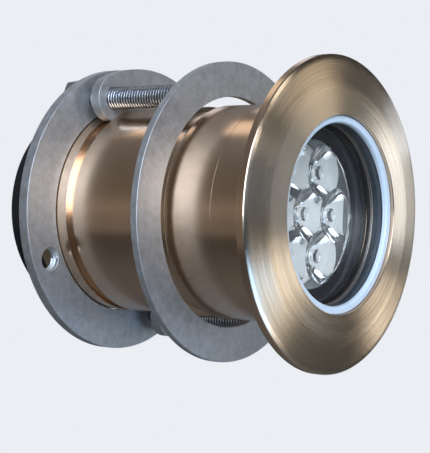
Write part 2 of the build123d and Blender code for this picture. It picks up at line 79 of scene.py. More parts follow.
backdrop_colour = linear("ebeef3")
world = bpy.data.worlds.new("studio")
world.use_nodes = True
bpy.context.scene.world = world
sky = world.node_tree
sky.nodes.clear()
direction = add(sky, "ShaderNodeTexCoord")
height = add(sky, "ShaderNodeSeparateXYZ", links={0: direction.outputs["Generated"]})
level = add(sky, "ShaderNodeMapRange", {"From Min": -1.0, "From Max": 1.0}, {"Value": height.outputs["Z"]})
back_wall = (
    (0.0, "5d6470"), (0.47, "7c7a78"), (0.51, "908e8c"), (0.66, "6a6865"), (0.82, "6c6e72"), (1.0, "8f96a2")
)
front_wall = ((0.0, "1a1918"), (0.50, "1e1c1a"), (0.57, "232120"), (0.80, "323236"), (1.0, "4a4e55"))
walls = []
for shades in (back_wall, front_wall):
    wall = add(sky, "ShaderNodeValToRGB", links={"Fac": level.outputs["Result"]})
    wall.color_ramp.interpolation = "EASE"
    for stop, (place, shade) in enumerate(shades):
        if stop > 1:
            wall.color_ramp.elements.new(place)
        wall.color_ramp.elements[stop].position = place
        wall.color_ramp.elements[stop].color = linear(shade)
    walls.append(wall.outputs["Color"])
side = add(
    sky,
    "ShaderNodeMapRange",
    {"From Min": 0.15, "From Max": -0.15},
    {"Value": height.outputs["Y"]},
)
room = add(sky, "ShaderNodeMixRGB", links={"Fac": side.outputs["Result"], 1: walls[0], 2: walls[1]})
rays = add(sky, "ShaderNodeLightPath")
room_light = add(sky, "ShaderNodeBackground", links={"Color": room.outputs["Color"]})
backdrop = add(sky, "ShaderNodeBackground", {"Color": backdrop_colour})
seen = add(
    sky,
    "ShaderNodeMixShader",
    links={"Fac": rays.outputs["Is Camera Ray"], 1: room_light.outputs[0], 2: backdrop.outputs[0]},
)
add(sky, "ShaderNodeOutputWorld", links={"Surface": seen.outputs[0]})

floor_level = -1.7
bm = bmesh.new()
floor_place = Matrix.Translation((0, 0, floor_level))
bmesh.ops.create_grid(bm, x_segments=1, y_segments=1, size=4, matrix=floor_place)
floor_mesh = bpy.data.meshes.new("floor")
bm.to_mesh(floor_mesh)
bm.free()
floor = bpy.data.objects.new("floor", floor_mesh)
bpy.context.collection.objects.link(floor)

# Painted studio floor: an even matt sheet. The camera sees it at the backdrop's own shade, with the
# light's soft shadow just showing on it, and the metal reflects it as a dim grey.
floor_paint = bpy.data.materials.new("matt_painted_floor")
floor_paint.use_nodes = True
tree = floor_paint.node_tree
tree.nodes.clear()
rays = add(tree, "ShaderNodeLightPath")
paint = add(tree, "ShaderNodeBsdfDiffuse", {"Color": linear("a6a29c")})
glow = add(tree, "ShaderNodeEmission", {"Color": backdrop_colour})
share = add(tree, "ShaderNodeMath", {"operation": "MULTIPLY", 1: 0.985}, {0: rays.outputs["Is Camera Ray"]})
mixed = add(
    tree,
    "ShaderNodeMixShader",
    links={"Fac": share.outputs[0], 1: paint.outputs[0], 2: glow.outputs[0]},
)
add(tree, "ShaderNodeOutputMaterial", links={"Surface": mixed.outputs[0]})
floor_mesh.materials.append(floor_paint)


def softbox(name, place, aim, width, height, roll, level, colour):
    """Rectangular soft lamp, turned from its place towards a point and rolled, that looks as bright as
    its level."""
    data = bpy.data.lights.new(name, "AREA")
    data.shape = "RECTANGLE"
    data.size = width
    data.size_y = height
    data.energy = level * pi * width * height
    data.color = linear(colour)[:3]
    lamp = bpy.data.objects.new(name, data)
    turn = (Vector(aim) - Vector(place)).to_track_quat("-Z", "Y").to_matrix().to_4x4()
    lamp.matrix_world = Matrix.Translation(place) @ turn @ Matrix.Rotation(radians(roll), 4, "Z")
    bpy.context.collection.objects.link(lamp)


middle = (0, 0.06, 0)
window = (0, 0, 0)
softbox("overhead_box", (0.22, 0.88, 1.14), middle, 0.40, 0.34, 0, 1.2, "fff4e6")
softbox("far_side_box", (0.85, 0.91, 0.72), middle, 0.55, 0.4, 0, 1.0, "eaf0fa")
softbox("camera_fill", (-0.95, -0.85, 0.55), window, 1.2, 1.2, 0, 9.8, "d6e6ff")

# Square panels far in front of the light, each by its direction, its size as seen, its level and its
# colour. The brushed flange draws each of them out into a fan.
front_panels = (
    ((0.914, -0.405, 0.008), 0.162, 4.3, "e4ecf8"),
    ((0.303, -0.878, -0.370), 0.338, 5.2, "a8d0ff"),
    ((0.474, -0.769, -0.429), 0.169, 2.9, "fff0d8"),
    ((0.914, -0.358, -0.193), 0.121, 3.3, "fff6ea"),
    ((0.702, -0.697, -0.150), 0.129, 3.3, "fff0d8"),
    ((0.461, -0.749, 0.476), 0.207, 3.1, "fff6ea"),
    ((0.274, -0.910, 0.312), 0.113, 6.0, "fff6ea"),
    ((0.986, -0.100, 0.132), 0.126, 2.8, "d6e6ff"),
    ((0.782, -0.590, 0.203), 0.155, 1.4, "fff0d8"),
)
panel_distance = 2.5
for number, (towards, seen_size, strength, shade) in enumerate(front_panels):
    size = seen_size * panel_distance
    softbox(
        f"front_panel_{number}",
        Vector(towards) * panel_distance,
        window,
        size,
        size,
        0,
        strength,
        shade,
    )


# Bezel housing: cast bronze, turned all over. The domed flange is brushed while it spins in the
# lathe, the sleeve behind it is polished, and the spigot goes into the tube.
flange_radius = 66.0
flange_rim = 3.2
flange_front = -6.5
opening_radius = 41.1
sleeve_radius = 46.4
seam = 27.2
spigot_radius = 42.5
spigot_bore = 39.3
spigot_back = 41.2
front_bore = 37.5
bore_step = 23.15
window_stop = 5.1
brushed_inner = 41.3
brushed_back = -3.3
brush_pitch = 0.588
brush_band = 2.38
tool_pitch = 0.303
tool_run = 50.0
tool_depth = 0.01
stain_size = 22.2


def spun(bm, steps):
    """Spins the open or closed line of points in a bmesh round the light's axis into a skin."""
    bmesh.ops.spin(
        bm,
        geom=bm.verts[:] + bm.edges[:],
        cent=(0, 0, 0),
        axis=(0, 1, 0),
        dvec=(0, 0, 0),
        angle=2 * pi,
        steps=steps,
        use_merge=True,
        use_duplicate=False,
    )
    bmesh.ops.remove_doubles(bm, verts=bm.verts[:], dist=1e-7)
    bmesh.ops.recalc_face_normals(bm, faces=bm.faces[:])


def finished(bm, name, sharp=32):
    """Makes an object of a bmesh: smooth, sharp over an angle, with its flat faces shaded flat."""
    for face in bm.faces:
        face.smooth = True
    mesh = bpy.data.meshes.new(name)
    bm.to_mesh(mesh)
    bm.free()
    mesh.set_sharp_from_angle(angle=radians(sharp))
    piece = bpy.data.objects.new(name, mesh)
    bpy.context.collection.objects.link(piece)
    shading = piece.modifiers.new("flat_faces", "WEIGHTED_NORMAL")
    shading.keep_sharp = True
    return piece


def turned(name, corners, steps=240, segments=4, shape=None):
    """Piece turned about the axis from (radius, station, edge radius) corners in millimetres.
    A shape function may move its points before it is finished."""
    bm = bmesh.new()
    points = [bm.verts.new((radius / 1000, station / 1000, 0)) for radius, station, _ in corners]
    bm.faces.new(points)
    for size in sorted({corner[2] for corner in corners if corner[2] > 0}):
        chosen = [point for point, corner in zip(points, corners) if corner[2] == size]
        bmesh.ops.bevel(
            bm,
            geom=chosen,
            offset=size / 1000,
            offset_type="OFFSET",
            segments=segments,
            profile=0.5,
            affect="VERTICES",
            material=-1,
        )
    bmesh.ops.delete(bm, geom=bm.faces[:], context="FACES_ONLY")
    on_axis = [edge for edge in bm.edges if max(vert.co.x for vert in edge.verts) < 1e-8]
    bmesh.ops.delete(bm, geom=on_axis, context="EDGES")
    spun(bm, steps)
    if shape:
        shape(bm)
    return finished(bm, name)


def finish_piece(piece, material, body, slot, *nodes):
    """Gives a piece its material and its body, and hides the CAD nodes it stands for. The slot is not used.
    """
    piece.data.materials.append(material)
    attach(piece, body)
    if nodes:
        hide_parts(*nodes)


def new_material(name):
    """New material, and its node tree, emptied."""
    material = bpy.data.materials.new(name)
    material.use_nodes = True
    material.node_tree.nodes.clear()
    return material, material.node_tree


# Bronze, brushed while it turns: fine rings round the axis, which pull each highlight out into a fan
# that runs from the opening to the rim. The rings are drawn coarser than real ones, so that they show.
brushed_bronze, tree = new_material("circular_brushed_bronze")
place = add(tree, "ShaderNodeTexCoord")
parts = add(tree, "ShaderNodeSeparateXYZ", links={0: place.outputs["Object"]})
across = add(tree, "ShaderNodeCombineXYZ", links={"X": parts.outputs["X"], "Y": parts.outputs["Z"]})
radius = add(tree, "ShaderNodeVectorMath", {"operation": "LENGTH"}, {0: across.outputs[0]})
turn = add(tree, "ShaderNodeMath", {"operation": "ARCTAN2"}, {0: parts.outputs["Z"], 1: parts.outputs["X"]})
along = add(tree, "ShaderNodeCombineXYZ", links={"X": turn.outputs[0], "Y": radius.outputs["Value"]})
lay = add(
    tree,
    "ShaderNodeMapping",
    {"Scale": (0.6, 1000 / brush_pitch, 1.0)},
    {"Vector": along.outputs[0]},
)
lines = add(
    tree,
    "ShaderNodeTexNoise",
    {"Scale": 1.0, "Detail": 3.0, "Roughness": 0.6},
    {"Vector": lay.outputs[0]},
)
wide_lay = add(
    tree,
    "ShaderNodeMapping",
    {"Scale": (0.5, 1000 / brush_band, 1.0)},
    {"Vector": along.outputs[0]},
)
wide_marks = add(tree, "ShaderNodeTexNoise", {"Scale": 1.0, "Detail": 2.0}, {"Vector": wide_lay.outputs[0]})
tone = add(tree, "ShaderNodeValToRGB", links={"Fac": lines.outputs["Fac"]})
tone.color_ramp.elements[0].position = 0.32
tone.color_ramp.elements[0].color = linear("d3c2aa")
tone.color_ramp.elements[1].position = 0.68
tone.color_ramp.elements[1].color = linear("ecdec9")
rough = add(
    tree,
    "ShaderNodeMapRange",
    {"To Min": 0.215, "To Max": 0.275},
    {"Value": wide_marks.outputs["Fac"]},
)
tangent = add(tree, "ShaderNodeCombineXYZ", links={"X": parts.outputs["X"], "Z": parts.outputs["Z"]})
tangent_world = add(
    tree,
    "ShaderNodeVectorTransform",
    {"vector_type": "VECTOR", "convert_from": "OBJECT", "convert_to": "WORLD"},
    {"Vector": tangent.outputs[0]},
)
shader = add(
    tree,
    "ShaderNodeBsdfPrincipled",
    {"Metallic": 1.0, "Anisotropic": 0.83},
    {
        "Base Color": tone.outputs["Color"],
        "Roughness": rough.outputs["Result"],
        "Tangent": tangent_world.outputs[0],
    },
)
add(tree, "ShaderNodeOutputMaterial", links={"Surface": shader.outputs[0]})

# Bronze, turned fine and polished: clear reflections, with tool marks round the axis that only show
# as a slight blur.
polished_bronze, tree = new_material("turned_polished_bronze")
place = add(tree, "ShaderNodeTexCoord")
marks_lay = add(
    tree,
    "ShaderNodeMapping",
    {"Scale": (1000 / tool_run, 1000 / tool_pitch, 1000 / tool_run)},
    {"Vector": place.outputs["Object"]},
)
marks = add(tree, "ShaderNodeTexNoise", {"Scale": 1.0, "Detail": 2.0}, {"Vector": marks_lay.outputs[0]})
stain = add(
    tree,
    "ShaderNodeTexNoise",
    {"Scale": 1000 / stain_size, "Detail": 4.0},
    {"Vector": place.outputs["Object"]},
)
tone = add(tree, "ShaderNodeValToRGB", links={"Fac": stain.outputs["Fac"]})
tone.color_ramp.elements[0].position = 0.3
tone.color_ramp.elements[0].color = linear("d0b193")
tone.color_ramp.elements[1].position = 0.75
tone.color_ramp.elements[1].color = linear("dcbea2")
rough = add(tree, "ShaderNodeMapRange", {"To Min": 0.19, "To Max": 0.26}, {"Value": marks.outputs["Fac"]})
relief = add(
    tree,
    "ShaderNodeBump",
    {"Strength": 0.05, "Distance": tool_depth / 1000},
    {"Height": marks.outputs["Fac"]},
)
shader = add(
    tree,
    "ShaderNodeBsdfPrincipled",
    {"Metallic": 1.0},
    {
        "Base Color": tone.outputs["Color"],
        "Roughness": rough.outputs["Result"],
        "Normal": relief.outputs[0],
    },
)
add(tree, "ShaderNodeOutputMaterial", links={"Surface": shader.outputs[0]})


def dome_points(steps):
    """Points of the flange's front: nearly flat inside, steeper past the middle, and rounded to the rim."""
    points = [Vector((opening_radius, 0))]
    stride = (flange_radius - opening_radius) / steps
    for step in range(1, steps + 1):
        radius = opening_radius + stride * step
        slope = 3.5 + 7.0 / (1 + exp(1.3 * (53.0 - radius))) + 22.0 / (1 + exp(2.0 * (65.0 - radius)))
        points.append(Vector((radius, points[-1].y + stride * tan(radians(slope)))))
    reach = (-flange_rim - flange_front) / points[-1].y
    return [(point.x, flange_front + point.y * reach, 0) for point in points[1:-1]]


dome = dome_points(60)
bezel = turned(
    "bezel_face",
    [(opening_radius, flange_front, 0.3)]
    + dome
    + [
        (flange_radius, -flange_rim, 0.35),
        (flange_radius, 0, 0.25),
        (sleeve_radius, 0, 0.4),
        (sleeve_radius, seam, 0.06),
        (spigot_radius, seam, 0),
        (spigot_radius, spigot_back, 0.2),
        (spigot_bore, spigot_back, 0.2),
        (spigot_bore, bore_step, 0),
        (front_bore, bore_step, 0.1),
        (front_bore, window_stop, 0.1),
        (opening_radius, window_stop, 0.1),
    ],
    steps=360,
)
finish_piece(bezel, brushed_bronze, "housing", "bronze", "bezel_housing")
bezel.data.materials.append(polished_bronze)
for face in bezel.data.polygons:
    if face.center.y * 1000 > brushed_back or face.center.xz.length * 1000 < brushed_inner:
        face.material_index = 1


# Tube housing: the rear bronze tube, turned and polished. It is rounded where it meets the neck, and
# has a groove for the horseshoe plate and a thinner tail under the bolt heads.
tube_front = 27.3
tube_back = 128.0
tube_radius = 46.2
tube_bore = 40.6
socket_radius = 42.7
socket_back = 41.3
neck_radius = 43.9
neck_front = 52.6
neck_back = 59.6
groove_radius = 44.0
groove_front = 100.95
groove_back = 106.25
tail_radius = 43.93
tail_front = 116.9
tube = turned(
    "tube_housing_turned",
    [
        (socket_radius, tube_front, 0),
        (sleeve_radius, tube_front, 0.06),
        (sleeve_radius, neck_front, 2.4),
        (neck_radius, neck_front, 0.4),
        (neck_radius, neck_back, 0.6),
        (tube_radius, neck_back + tube_radius - neck_radius, 0.6),
        (tube_radius, groove_front, 0.3),
        (groove_radius, groove_front, 0.2),
        (groove_radius, groove_back, 0.2),
        (tube_radius, groove_back, 0.3),
        (tube_radius, tail_front, 0.3),
        (tail_radius, tail_front, 0.2),
        (tail_radius, tube_back, 0.3),
        (tube_bore, tube_back, 0.3),
        (tube_bore, socket_back, 0),
        (socket_radius, socket_back, 0),
    ],
    steps=360,
)
finish_piece(tube, polished_bronze, "housing", "bronze", "tube_housing")


# Pressure plate, horseshoe plate and rear ring: cut from stainless plate, with their edges broken, and
# then bead-blasted.
bolt_circle = 54.25
bolt_bearing = 112.0
tapped_radius = 5.08
thread_pitch = 1.5
plate_edge = 0.3
pressure_radius = 65.4
pressure_bore = 50.2
pressure_front = 49.5
pressure_back = 52.9
ring_bore = 46.5
ring_front = 111.9
ring_back = 116.9
clip_inner = 44.25
clip_outer = 64.25
clip_front = 101.1
clip_back = 106.1
bead_grain = 0.385
bead_cloud = 3.85
bead_depth = 0.03


def blasted(name, shade, pale):
    """Bead-blasted stainless: grey and faintly mottled, with a grain that is drawn coarser than the real
    one, so that it shows."""
    material, tree = new_material(name)
    place = add(tree, "ShaderNodeTexCoord")
    grain = add(
        tree,
        "ShaderNodeTexNoise",
        {"Scale": 1000 / bead_grain, "Detail": 2.0},
        {"Vector": place.outputs["Object"]},
    )
    clouds = add(
        tree,
        "ShaderNodeTexNoise",
        {"Scale": 1000 / bead_cloud, "Detail": 5.0, "Roughness": 0.62},
        {"Vector": place.outputs["Object"]},
    )
    mix = add(
        tree,
        "ShaderNodeMath",
        {"operation": "MULTIPLY_ADD", 1: 0.35},
        {0: grain.outputs["Fac"], 2: clouds.outputs["Fac"]},
    )
    tone = add(tree, "ShaderNodeValToRGB", links={"Fac": mix.outputs[0]})
    tone.color_ramp.elements[0].position = 0.45
    tone.color_ramp.elements[0].color = linear(shade)
    tone.color_ramp.elements[1].position = 0.85
    tone.color_ramp.elements[1].color = linear(pale)
    rough = add(
        tree,
        "ShaderNodeMapRange",
        {"To Min": 0.54, "To Max": 0.66},
        {"Value": clouds.outputs["Fac"]},
    )
    relief = add(
        tree,
        "ShaderNodeBump",
        {"Strength": 0.25, "Distance": bead_depth / 1000},
        {"Height": grain.outputs["Fac"]},
    )
    shader = add(
        tree,
        "ShaderNodeBsdfPrincipled",
        {"Metallic": 1.0},
        {
            "Base Color": tone.outputs["Color"],
            "Roughness": rough.outputs["Result"],
            "Normal": relief.outputs[0],
        },
    )
    add(tree, "ShaderNodeOutputMaterial", links={"Surface": shader.outputs[0]})
    return material


blasted_steel = blasted("bead_blasted_stainless", "a9aaa8", "c4c5c5")


def circle(bm, bearing, distance, radius, steps):
    """Ring of points round a centre that lies at a bearing and distance from the light's axis."""
    centre = Matrix.Rotation(-radians(bearing), 4, "Y") @ Matrix.Translation((distance / 1000, 0, 0))
    upright = Matrix.Rotation(pi / 2, 4, "X")
    bmesh.ops.create_circle(
        bm,
        cap_ends=False,
        radius=radius / 1000,
        segments=steps,
        matrix=centre @ upright,
    )


def cut_plate(bm, front, back, edge):
    """Fills the outlines in a bmesh, gives them thickness along the axis and rounds the rims."""
    bmesh.ops.triangle_fill(bm, edges=bm.edges[:], use_beauty=True, use_dissolve=False)
    bmesh.ops.translate(bm, verts=bm.verts[:], vec=(0, front / 1000, 0))
    skin = bmesh.ops.extrude_face_region(bm, geom=bm.faces[:], use_keep_orig=True)
    moved = [item for item in skin["geom"] if isinstance(item, bmesh.types.BMVert)]
    bmesh.ops.translate(bm, verts=moved, vec=(0, (back - front) / 1000, 0))
    bmesh.ops.recalc_face_normals(bm, faces=bm.faces[:])
    rims = [line for line in bm.edges if line.is_manifold and line.calc_face_angle() > 1.2]
    bmesh.ops.bevel(
        bm,
        geom=rims,
        offset=edge / 1000,
        offset_type="OFFSET",
        segments=3,
        profile=0.5,
        affect="EDGES",
        material=-1,
    )


def on_circle(bearing, radius):
    """Point in the plane across the axis, at a bearing and radius, in metres."""
    return Vector((cos(radians(bearing)), 0, sin(radians(bearing)))) * radius / 1000


def helix(bm, profile, start, turns, steps):
    """Winds one pitch of a thread's (radius, share of pitch) profile round the Y axis."""
    points = []
    for radius, share in profile:
        points.append(bm.verts.new((radius / 1000, (start + share * thread_pitch) / 1000, 0)))
    lines = [bm.edges.new(pair) for pair in zip(points, points[1:])]
    bmesh.ops.spin(
        bm,
        geom=points + lines,
        cent=(0, 0, 0),
        axis=(0, -1, 0),
        dvec=(0, thread_pitch / steps / 1000, 0),
        angle=2 * pi * turns,
        steps=steps * turns,
        use_merge=False,
        use_duplicate=False,
    )
    bmesh.ops.remove_doubles(bm, verts=bm.verts[:], dist=2e-6)


def add_shell(bm, other, place=(0, 0, 0)):
    """Adds another bmesh to this one at a place, and frees it."""
    bmesh.ops.recalc_face_normals(other, faces=other.faces[:])
    bmesh.ops.translate(other, verts=other.verts[:], vec=place)
    shell = bpy.data.meshes.new("shell")
    other.to_mesh(shell)
    other.free()
    bm.from_mesh(shell)
    bpy.data.meshes.remove(shell)


bm = bmesh.new()
circle(bm, 0, 0, pressure_radius, 300)
circle(bm, 0, 0, pressure_bore, 240)
cut_plate(bm, pressure_front, pressure_back, plate_edge)
pressure = finished(bm, "pressure_plate_blasted")
finish_piece(pressure, blasted_steel, "pressure_plate", "plate_steel", "pressure_plate")

bm = bmesh.new()
circle(bm, 0, 0, clip_outer, 300)
circle(bm, 0, 0, ring_bore, 240)
for quarter in range(4):
    circle(bm, bolt_bearing + 90 * quarter, bolt_circle, tapped_radius, 48)
cut_plate(bm, ring_front, ring_back, plate_edge)
nut_thread = ((5.1, 0), (4.35, 0.42), (4.35, 0.55), (5.1, 0.97), (5.1, 1.0))
for empty in (90, 270):
    ridges = bmesh.new()
    helix(ridges, nut_thread, ring_front + 0.2, 2, 48)
    add_shell(bm, ridges, on_circle(bolt_bearing + empty, bolt_circle))
ring = finished(bm, "rear_ring_blasted")
finish_piece(ring, blasted_steel, "housing", "plate_steel", "rear_ring")


def sweep(bm, vert, centre, angle, steps):
    """Spins one point round a centre, as the next arc of an outline, and returns its last point."""
    made = bmesh.ops.spin(
        bm,
        geom=[vert],
        cent=centre,
        axis=(0, 1, 0),
        dvec=(0, 0, 0),
        angle=angle,
        steps=steps,
        use_merge=False,
        use_duplicate=False,
    )
    return [item for item in made["geom_last"] if isinstance(item, bmesh.types.BMVert)][0]


bm = bmesh.new()
lobe_middle = on_circle(bolt_bearing, bolt_circle)
far_middle = on_circle(bolt_bearing + 180, bolt_circle)
vert = bm.verts.new(on_circle(bolt_bearing, clip_inner))
vert = sweep(bm, vert, lobe_middle, pi, 40)
vert = sweep(bm, vert, (0, 0, 0), pi, 150)
vert = sweep(bm, vert, far_middle, pi, 40)
sweep(bm, vert, (0, 0, 0), -pi, 150)
bmesh.ops.remove_doubles(bm, verts=bm.verts[:], dist=1e-6)
for half in range(2):
    circle(bm, bolt_bearing + 180 * half, bolt_circle, tapped_radius, 48)
cut_plate(bm, clip_front, clip_back, plate_edge)
horseshoe = finished(bm, "horseshoe_plate_blasted")
finish_piece(horseshoe, blasted_steel, "housing", "plate_steel", "horseshoe_plate")


# Jack bolts: stainless M10 x 1.5 hexagon bolts with rolled threads along the whole shank, bright from
# the thread rolls. The thread is a real helix, with crests drawn a little wide so that they show.
thread_major = 4.98
thread_minor = 4.1
thread_shoulder = 4.8
thread_front = 53.6
thread_turns = 42
root_shade_front = 55.6
root_shade_back = 116.6
bolt_tip = 53.0
washer_front = 118.2
washer_back = 118.7
head_front = 118.6
head_back = 124.6
head_flats = 17.0
head_turn = 10.0


def mottled(name, dark, pale, width, smooth, dull, depth, settings):
    """Finish with a two-tone grain, of a width and depth in millimetres, that also varies its roughness.
    Where real grain is too fine to show, it is drawn as coarse as it needs to."""
    material, tree = new_material(name)
    place = add(tree, "ShaderNodeTexCoord")
    grain = add(
        tree,
        "ShaderNodeTexNoise",
        {"Scale": 1000 / width, "Detail": 3.0},
        {"Vector": place.outputs["Object"]},
    )
    tone = add(tree, "ShaderNodeValToRGB", links={"Fac": grain.outputs["Fac"]})
    tone.color_ramp.elements[0].position = 0.3
    tone.color_ramp.elements[0].color = linear(dark)
    tone.color_ramp.elements[1].position = 0.7
    tone.color_ramp.elements[1].color = linear(pale)
    rough = add(
        tree,
        "ShaderNodeMapRange",
        {"To Min": smooth, "To Max": dull},
        {"Value": grain.outputs["Fac"]},
    )
    relief = add(
        tree,
        "ShaderNodeBump",
        {"Strength": 0.3, "Distance": depth / 1000},
        {"Height": grain.outputs["Fac"]},
    )
    shader = add(
        tree,
        "ShaderNodeBsdfPrincipled",
        settings,
        {
            "Base Color": tone.outputs["Color"],
            "Roughness": rough.outputs["Result"],
            "Normal": relief.outputs[0],
        },
    )
    add(tree, "ShaderNodeOutputMaterial", links={"Surface": shader.outputs[0]})
    return material


# Rolled stainless: pale and bright, with faint scuffs.
rolled_steel = mottled("rolled_stainless", "d3d7da", "eceef0", 3.33, 0.22, 0.3, 0.004, {"Metallic": 1.0})
# Thread roots: the same steel painted darker, as painted shade in the thread's hollows.
painted_root_shade = mottled("thread_roots_painted_shade", "66696c", "808386", 3.33, 0.3, 0.42, 0.004, {"Metallic": 1.0})


def loop(bm, radius, station, steps, filled=False):
    """Ring of points round the light's axis at a station, filled or open."""
    upright = Matrix.Translation((0, station / 1000, 0)) @ Matrix.Rotation(pi / 2, 4, "X")
    made = bmesh.ops.create_circle(
        bm,
        cap_ends=filled,
        radius=radius / 1000,
        segments=steps,
        matrix=upright,
    )
    return made["verts"]


def bands(bm, rings):
    """Bridges each ring of points to the next with a band of faces."""
    for first, second in zip(rings, rings[1:]):
        rims = []
        for ends in (set(first), set(second)):
            rims += {line for vert in ends for line in vert.link_edges if set(line.verts) <= ends}
        bmesh.ops.bridge_loops(bm, edges=rims)


def hexagon_bar(flats, front, back, turn, bore=0.0):
    """Hexagonal bar along the axis with its back corners turned down, bored where a bore is given."""
    bm = bmesh.new()
    half = flats / 2
    turned_down = 0.94 * half
    rings = [
        loop(bm, turned_down, back, 72, bore == 0),
        loop(bm, half, back, 72),
        loop(bm, half, front, 72),
        loop(bm, turned_down, front, 72, bore == 0),
    ]
    for ring, slope in ((rings[1], tan(radians(30))), (rings[2], 0)):
        for vert in ring:
            # The hundredth of a degree puts every point that lies on a corner on the same side of it.
            off_flat = radians((degrees(atan2(vert.co.z, vert.co.x)) - turn + 0.01) % 60 - 30.01)
            vert.co.x, vert.co.z = vert.co.x / cos(off_flat), vert.co.z / cos(off_flat)
            vert.co.y -= slope * (half / cos(off_flat) - turned_down) / 1000
    if bore:
        rings = [loop(bm, bore, back, 72)] + rings + [loop(bm, bore, front, 72)]
        rings.append(rings[0])
    bands(bm, rings)
    return bm


def jack_bolt(name, bearing):
    """One jack bolt: threaded shank with a chamfered tip, washer face and hexagon head."""
    bm = bmesh.new()
    profile = (
        (thread_minor, 0),
        (thread_minor, 0.16),
        (thread_shoulder, 0.38),
        (thread_major, 0.47),
        (thread_major, 0.67),
        (thread_shoulder, 0.76),
        (thread_minor, 0.98),
        (thread_minor, 1),
    )
    helix(bm, profile, thread_front, thread_turns, 32)
    tip = bmesh.new()
    rings = [
        loop(tip, 3.7, bolt_tip, 48, True),
        loop(tip, thread_minor + 0.05, 53.9, 48),
        loop(tip, 3.8, 55.4, 48, True),
    ]
    bands(tip, rings)
    add_shell(bm, tip)
    washer = bmesh.new()
    rings = [
        loop(washer, head_flats / 2 - 0.4, washer_front, 72, True),
        loop(washer, head_flats / 2 - 0.3, washer_back, 72, True),
    ]
    bands(washer, rings)
    add_shell(bm, washer)
    add_shell(bm, hexagon_bar(head_flats, head_front, head_back, head_turn))
    bmesh.ops.translate(bm, verts=bm.verts[:], vec=on_circle(bearing, bolt_circle))
    bolt = finished(bm, name + "_threaded")
    finish_piece(bolt, rolled_steel, name, "bolt_steel", name)
    bolt.data.materials.append(painted_root_shade)
    # Faces in the thread's roots and lower flanks take the painted shade.
    for face in bolt.data.polygons:
        from_middle = (face.center - on_circle(bearing, bolt_circle)).xz.length * 1000
        threaded = root_shade_front < face.center.y * 1000 < root_shade_back
        if threaded and from_middle < thread_shoulder - 0.1:
            face.material_index = 1


jack_bolt("jack_bolt_1", bolt_bearing)
jack_bolt("jack_bolt_2", bolt_bearing + 180)


# Rear cap: moulded black polymer with a diamond knurl round its grip, and two reliefs in the grip that
# let the bolt heads pass.
cap_front = 112.0
cap_back = 141.2
cap_hollow = 36.4
cap_floor = 133.2
cap_spigot = 40.4
cap_neck = 9.98
cap_groove = 38.8
cap_groove_front = 114.0
cap_groove_back = 117.2
cap_shoulder = 132.9
grip_radius = 45.9
grip_corner = 45.2
grip_front = 133.3
grip_back = 139.9
knurl_rows = 8
knurl_columns = 264
knurl_depth = 0.6
head_clear = 10.3

# Glass-filled nylon, spark-eroded mould grain: near black, with a dull sheen on each knurl.
moulded_black = mottled("moulded_black_nylon", "0c0d0f", "1a1b1e", 0.667, 0.42, 0.6, 0.04, {"IOR": 1.53})


def knurl(bm):
    """Presses a diamond knurl into the grip and cuts the two reliefs for the bolt heads."""
    for vert in bm.verts:
        radius = vert.co.xz.length * 1000
        if radius < grip_radius - 1.3 or vert.co.y * 1000 < cap_shoulder - 0.1:
            continue
        bearing = degrees(atan2(vert.co.z, vert.co.x))
        row = (vert.co.y * 1000 - grip_front) / (grip_back - grip_front) * knurl_rows
        column = round(bearing * knurl_columns / 360)
        if -0.1 < row < knurl_rows + 0.1 and (round(row) + column) % 2:
            radius -= knurl_depth
        off_bolt = abs((bearing - bolt_bearing + 90) % 180 - 90)
        if off_bolt < degrees(head_clear / bolt_circle):
            aside = bolt_circle * sin(radians(off_bolt))
            reach = bolt_circle * cos(radians(off_bolt)) - sqrt(max(head_clear**2 - aside**2, 0))
            radius = min(radius, reach)
        vert.co.x, vert.co.z = on_circle(bearing, radius).xz


cap = turned(
    "rear_cap_moulded",
    [
        (cap_neck, cap_floor, 0),
        (cap_hollow, cap_floor, 0),
        (cap_hollow, cap_front, 0.3),
        (cap_spigot, cap_front, 0.3),
        (cap_spigot, cap_groove_front, 0),
        (cap_groove, cap_groove_front, 0),
        (cap_groove, cap_groove_back, 0),
        (cap_spigot, cap_groove_back, 0),
        (cap_spigot, tube_back + 0.1, 0),
        (tail_radius, tube_back + 0.1, 0.2),
        (tail_radius, cap_shoulder, 0),
        (grip_corner, cap_shoulder, 0),
    ]
    + [
        (grip_radius, grip_front + (grip_back - grip_front) * row / knurl_rows, 0)
        for row in range(knurl_rows + 1)
    ]
    + [(grip_corner, 140.9, 0), (44.4, cap_back, 0), (cap_neck, cap_back, 0.2)],
    steps=knurl_columns,
    shape=knurl,
)
finish_piece(cap, moulded_black, "housing", "cap_black", "rear_cap")


# Cable gland: a nickel-plated brass body, turned from hexagon bar and screwed into the cap, and a domed
# nut that squeezes a rubber seal round the cable.
gland_flats = 24.0
wire_bore = 5.0
seal_seat = 7.4
nut_bore = 9.08

# Satin nickel over machined brass: a warm grey metal with fine tool grain.
satin_nickel = mottled(
    "satin_nickel_plating",
    "b9b2a4",
    "cfc9bd",
    0.556,
    0.22,
    0.36,
    0.01,
    {"Metallic": 1.0},
)


def add_collar(bm, corners):
    """Adds a collar turned about the axis from (radius, station) corners."""
    collar = bmesh.new()
    rings = [loop(collar, radius, station, 72) for radius, station in corners]
    bands(collar, rings + rings[:1])
    add_shell(bm, collar)


bm = hexagon_bar(gland_flats, 142.7, 147.7, 0, wire_bore)
add_collar(bm, ((9.9, cap_floor), (9.9, 143.0), (wire_bore, 143.0), (wire_bore, cap_floor)))
add_collar(
    bm,
    (
        (9.0, 147.5),
        (9.0, 154.7),
        (seal_seat, 154.7),
        (seal_seat, 150.7),
        (wire_bore, 150.7),
        (wire_bore, 147.5),
    ),
)
finish_piece(finished(bm, "gland_body_machined"), satin_nickel, "housing", "nickel_brass", "gland_body")

